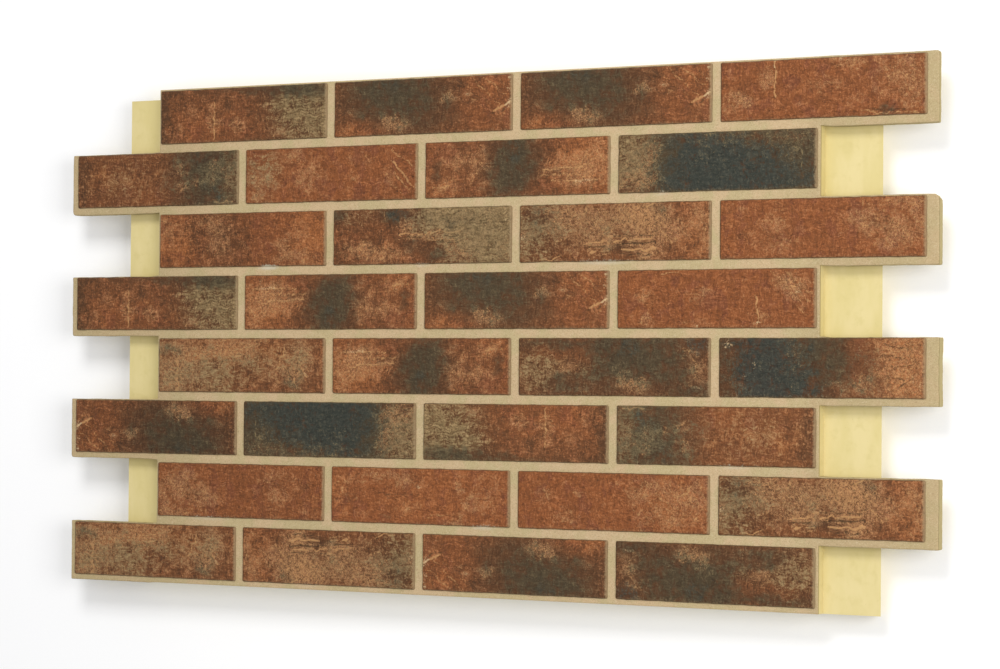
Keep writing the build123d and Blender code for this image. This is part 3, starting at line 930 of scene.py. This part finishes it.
def readLayout():
    # the boxes of the slips, the low and high side of each tooth, and the layer's main lines
    boxes, teeth = {}, {}
    low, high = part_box("joint_grout")
    lines = {"endLeft": low.x / mm, "endRight": high.x / mm, "bottom": low.y / mm, "top": high.y / mm}
    for course in range(1, courses + 1):
        for column in range(1, slipsPerCourse + 1):
            low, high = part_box(f"slip_r{course}_c{column}")
            boxes[course, column] = [value / mm for value in (low.x, high.x, low.y, high.y)]
        down, up = boxes[course, 1][2:]
        teeth[course] = (max(down - jointShape["lipBelowTooth"], lines["bottom"]),
                         up + jointShape["lipAbove"])
    lines["wallLeft"] = boxes[1, 1][0] - jointShape["notchLipLeft"]
    lines["wallRight"] = boxes[2, slipsPerCourse][1] + jointShape["notchLipRight"]
    return boxes, teeth, lines


def rulePlan(boxes, teeth, lines):
    # the lines of the mesh in plan, along x and along y
    skin, under, soft = (jointShape[name] for name in ("skin", "underSlip", "edgeSoft"))
    marksX = [lines["wallLeft"], lines["wallLeft"] + soft, lines["wallRight"] - soft, lines["wallRight"]]
    for inward in (0, soft, skin, jointShape["endRow"]):
        marksX += [lines["endLeft"] + inward, lines["endRight"] - inward]
    marksY = [lines["bottom"], lines["bottom"] + soft, lines["top"] - soft, lines["top"]]
    for left, right, _, _ in boxes.values():
        marksX += [left + under, right - under]
    for course, (low, high) in teeth.items():
        _, _, down, up = boxes[course, 1]
        marksY += [low, low + soft, low + skin, low + jointShape["sideRow"], down + under,
                   up - under, high - soft, high - skin, high]
    return spread(marksX, jointShape["spacing"]), spread(marksY, jointShape["spacing"])


def findDepths(middleX, middleY, boxes, teeth, lines):
    # how deep each cell of the layer goes: 0 is none, 1 the lattice, 2 the skin of a tooth
    skin, under = jointShape["skin"], jointShape["underSlip"]
    wallLeft, wallRight = lines["wallLeft"], lines["wallRight"]
    depth = ((middleX > wallLeft) & (middleX < wallRight)
             & (middleY > lines["bottom"]) & (middleY < lines["top"])).astype(int)
    for course, (low, high) in teeth.items():
        inRow = (middleY > low) & (middleY < high)
        nearSide = (middleY < low + skin) | (middleY > high - skin)
        if course % 2 == 0:
            beyond, nearEnd = middleX < wallLeft, middleX < lines["endLeft"] + skin
        else:
            beyond, nearEnd = middleX > wallRight, middleX > lines["endRight"] - skin
        depth[inRow & beyond] = 1
        depth[inRow & beyond & (nearSide | nearEnd)] = 2
    for left, right, down, up in boxes.values():
        depth[(middleX > left + under) & (middleX < right - under)
              & (middleY > down + under) & (middleY < up - under)] = 0
    return depth


def buildLayer(linesX, linesY, depth):
    # the corners and faces of the layer, the number of each corner, and the outline's places in plan
    levels = [jointShape[name] for name in ("surface", "lattice", "foot")]
    corners, faces, known, outer = [], [], {}, set()

    def corner(column, row, level):
        key = (column, row, level)
        if key not in known:
            known[key] = len(corners)
            corners.append([linesX[column], linesY[row], levels[level]])
        return known[key]

    padded = np.pad(depth, 1)
    for column, row in zip(*np.nonzero(depth)):
        own = depth[column, row]
        square = [(column, row), (column + 1, row), (column + 1, row + 1), (column, row + 1)]
        faces.append([corner(*place, 0) for place in square])
        faces.append([corner(*place, own) for place in reversed(square)])
        for step, (sideX, sideY) in enumerate(((0, -1), (1, 0), (0, 1), (-1, 0))):
            beside = padded[column + 1 + sideX, row + 1 + sideY]
            start, stop = square[step], square[(step + 1) % 4]
            for level in range(beside, own):
                faces.append([corner(*start, level), corner(*start, level + 1),
                              corner(*stop, level + 1), corner(*stop, level)])
            if beside == 0:
                outer.update((start, stop))
    return np.array(corners), faces, known, outer


def roundTooth(x, y, end, sign, corner, power):
    # draws a point in where a corner of a tooth is rounded; a power of 1 cuts it off straight
    edge, way, radius = corner
    inX, inY = sign * (end - x), way * (y - edge)
    if inX >= radius or inY >= radius:
        return x, y
    a, b = radius - inX, radius - inY
    scale = max(a, b) / (a ** power + b ** power) ** (1 / power)
    return end - sign * (radius - a * scale), edge + way * (radius - b * scale)


def reshapeTeeth(corners, teeth, lines):
    # moves the sides of each tooth, rounds its corners and lets its sides wander a little
    shape = jointShape
    near = shape["tolerance"]
    for course, (low, high) in teeth.items():
        faceShift, footShift, lowShift, highShift, roundLow, roundHigh = toothEnds[course]
        sign, side = (-1, "Left") if course % 2 == 0 else (1, "Right")
        wall, end = lines["wall" + side], lines["end" + side]
        for point in corners:
            x, y, z = point
            if not (low - near <= y <= high + near and sign * (x - wall) > near):
                continue
            nearEnd = max(0.0, 1 - sign * (end - x) / shape["waveReach"])
            down = (shape["surface"] - z) / (shape["surface"] - shape["foot"])
            broken = course == brokenCorner
            more = shape["breakSlope"] * down if broken else 0.0
            x, y = roundTooth(x, y, end, sign, (low, 1, roundLow), 2.0)
            x, y = roundTooth(x, y, end, sign, (high, -1, roundHigh + more), 1.0 if broken else 2.0)
            sway = (noise.noise((y * 0.06, course * 7.3, 0.0))
                    + 0.5 * noise.noise((y * 0.3, course * 3.1, z * 0.15)))
            lift = (noise.noise((x * 0.05, course * 5.7, 2.0))
                    + 0.4 * noise.noise((x * 0.3, course * 2.3, z * 0.15)))
            nearWall = min(1.0, sign * (x - wall) / shape["wallReach"])
            lowShare = max(0.0, 1 - (y - low) / shape["sideRow"])
            highShare = max(0.0, 1 - (high - y) / shape["sideRow"])
            shift = faceShift + (footShift - faceShift) * down + shape["wave"] * sway
            wander = shape["sideWave"] * lift * max(lowShare, highShare)
            point[0] = x + sign * shift * nearEnd
            point[1] = y + nearWall * (highShift * highShare - lowShift * lowShare + wander)


def wearFace(corners, known, outer, linesX, linesY, boxes, lines):
    # top edges along the outline are a little worn, and the sanded face is never quite flat
    wearAndShade = {(column, row) for column, row in outer
            if not any(left <= linesX[column] <= right and down <= linesY[row] <= up
                       for left, right, down, up in boxes.values())}
    edge = np.zeros(len(corners))
    for (column, row, level), index in known.items():
        if level == 0:
            x, y, _ = corners[index]
            corners[index, 2] += jointShape["sandRelief"] * noise.noise((x * 0.11, y * 0.11, 3.0))
            if (column, row) in wearAndShade:
                corners[index, 2] -= jointShape["edgeDrop"]
                edge[index] = 0.5 if lines["wallLeft"] - 1 < x < lines["wallRight"] + 1 else 1.0
    return edge


def makeJoints():
    boxes, teeth, lines = readLayout()
    linesX, linesY = rulePlan(boxes, teeth, lines)
    middleX = (linesX[:-1] + linesX[1:])[:, None] / 2
    middleY = (linesY[:-1] + linesY[1:])[None, :] / 2
    depth = findDepths(middleX, middleY, boxes, teeth, lines)
    corners, faces, known, outer = buildLayer(linesX, linesY, depth)
    reshapeTeeth(corners, teeth, lines)
    edge = wearFace(corners, known, outer, linesX, linesY, boxes, lines)
    mesh = bpy.data.meshes.new("sandedJoints")
    mesh.from_pydata((corners * mm).tolist(), [], faces)
    mesh.materials.append(sand)
    joints = bpy.data.objects.new("sandedJoints", mesh)
    bpy.context.scene.collection.objects.link(joints)

    shape = jointShape
    x, y, _ = corners.T
    # painted shade: the joint is duller towards its left and right ends
    fromLeft = (lines["wallLeft"] + shape["dullLeftFrom"] - x) / shape["dullLeftOver"]
    fromRight = (x - lines["wallRight"] + shape["dullRightFrom"]) / shape["dullRightOver"]
    wearAndShade = np.maximum(shape["dullLeft"] * np.clip(fromLeft, 0, 1),
                      shape["dullRight"] * np.clip(fromRight, 0, 1))
    lime = sum(limeAt(x, y, *place, left, right, down - shape["limeDrop"], shape["limeReach"])
               for place, (left, right, down, _) in boxes.items())
    for name, values in (("lime", lime), ("wearAndShade", wearAndShade), ("edge", edge)):
        writeAttribute(mesh, name, values)
    turnFacesOut(mesh)
    normals = readVectors(mesh.polygons, "normal")
    writeAttribute(mesh, "sides", (np.abs(normals[:, 2]) < 0.5).astype(float), "FACE")
    mesh.shade_smooth()
    mesh.set_sharp_from_angle(angle=shape["sharpAngle"])
    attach(joints, "root")
    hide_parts("joint_grout")


makeJoints()
print("joints sanded")


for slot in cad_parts["foam_core"].material_slots:
    slot.material = foam
print("foam painted")


studio = {
    "floorSize": 24.0, "floorLook": {"paper": (250, 250, 250), "fleck": (246, 246, 247)},
    "topPlace": (0.5, 2.7, 2.9), "topSize": (1.6, 1.3), "topPower": 72.0,
    "sidePlace": (2.6, 0.1, 1.9), "sideSize": (1.4, 1.4), "sidePower": 50.0,
    "aim": (0.0, 0.0, 0.02), "skyStrength": 0.62,
}


def addLight(name):
    data = bpy.data.lights.new(name + "Light", "AREA")
    data.shape = "RECTANGLE"
    data.size, data.size_y = studio[name + "Size"]
    data.energy = studio[name + "Power"]
    light = bpy.data.objects.new(name + "Light", data)
    place = Vector(studio[name + "Place"])
    turn = (place - Vector(studio["aim"])).to_track_quat("Z", "Y").to_matrix().to_4x4()
    light.matrix_world = Matrix.Translation(place) @ turn
    bpy.context.scene.collection.objects.link(light)


def makeStudio():
    half = studio["floorSize"] / 2
    mesh = bpy.data.meshes.new("studioFloor")
    mesh.from_pydata([(-half, -half, 0), (half, -half, 0), (half, half, 0), (-half, half, 0)], [],
                     [(0, 1, 2, 3)])
    floor = bpy.data.objects.new("studioFloor", mesh)
    bpy.context.scene.collection.objects.link(floor)
    material, tree, tints = newMaterial("palePaper", studio["floorLook"], 1.0)
    tooth = grain(tree, addNode(tree, "ShaderNodeTexCoord").outputs["Object"], 400.0, 3, 0.6)
    colour = mixColours(tree, tooth, tints["paper"], tints["fleck"])
    finishSurface(tree, colour, 0.9, 0.2, tooth, 0.1 * mm, 0.3)
    mesh.materials.append(material)
    addLight("top")
    addLight("side")
    world = bpy.data.worlds.new("studioSky")
    bpy.context.scene.world = world
    world.use_nodes = True
    sky = world.node_tree.nodes["Background"]
    sky.inputs["Color"].default_value = (1.0, 1.0, 1.0, 1.0)
    sky.inputs["Strength"].default_value = studio["skyStrength"]


# The camera that was fitted to the photo; columns: to the right, up, back towards the viewer, place
photoCamera = {
    "sensor": 36.0, "lens": 115.98, "farthest": 60.0,
    "pose": ((0.85256, 0.00145, 0.52262, 1.9460), (0.00733, 0.99986, -0.01473, -0.04743),
             (-0.52257, 0.01639, 0.85243, 3.15474), (0.0, 0.0, 0.0, 1.0)),
}


def makeCamera():
    data = bpy.data.cameras.new("photoCamera")
    data.sensor_fit = "HORIZONTAL"
    data.sensor_width = photoCamera["sensor"]
    data.lens = photoCamera["lens"]
    data.clip_end = photoCamera["farthest"]
    camera = bpy.data.objects.new("photoCamera", data)
    camera.matrix_world = Matrix(photoCamera["pose"])
    bpy.context.scene.collection.objects.link(camera)
    bpy.context.scene.camera = camera


makeStudio()
makeCamera()
bpy.context.scene.view_settings.view_transform = "Standard"  # colours come out as they are given above
print("studio set")
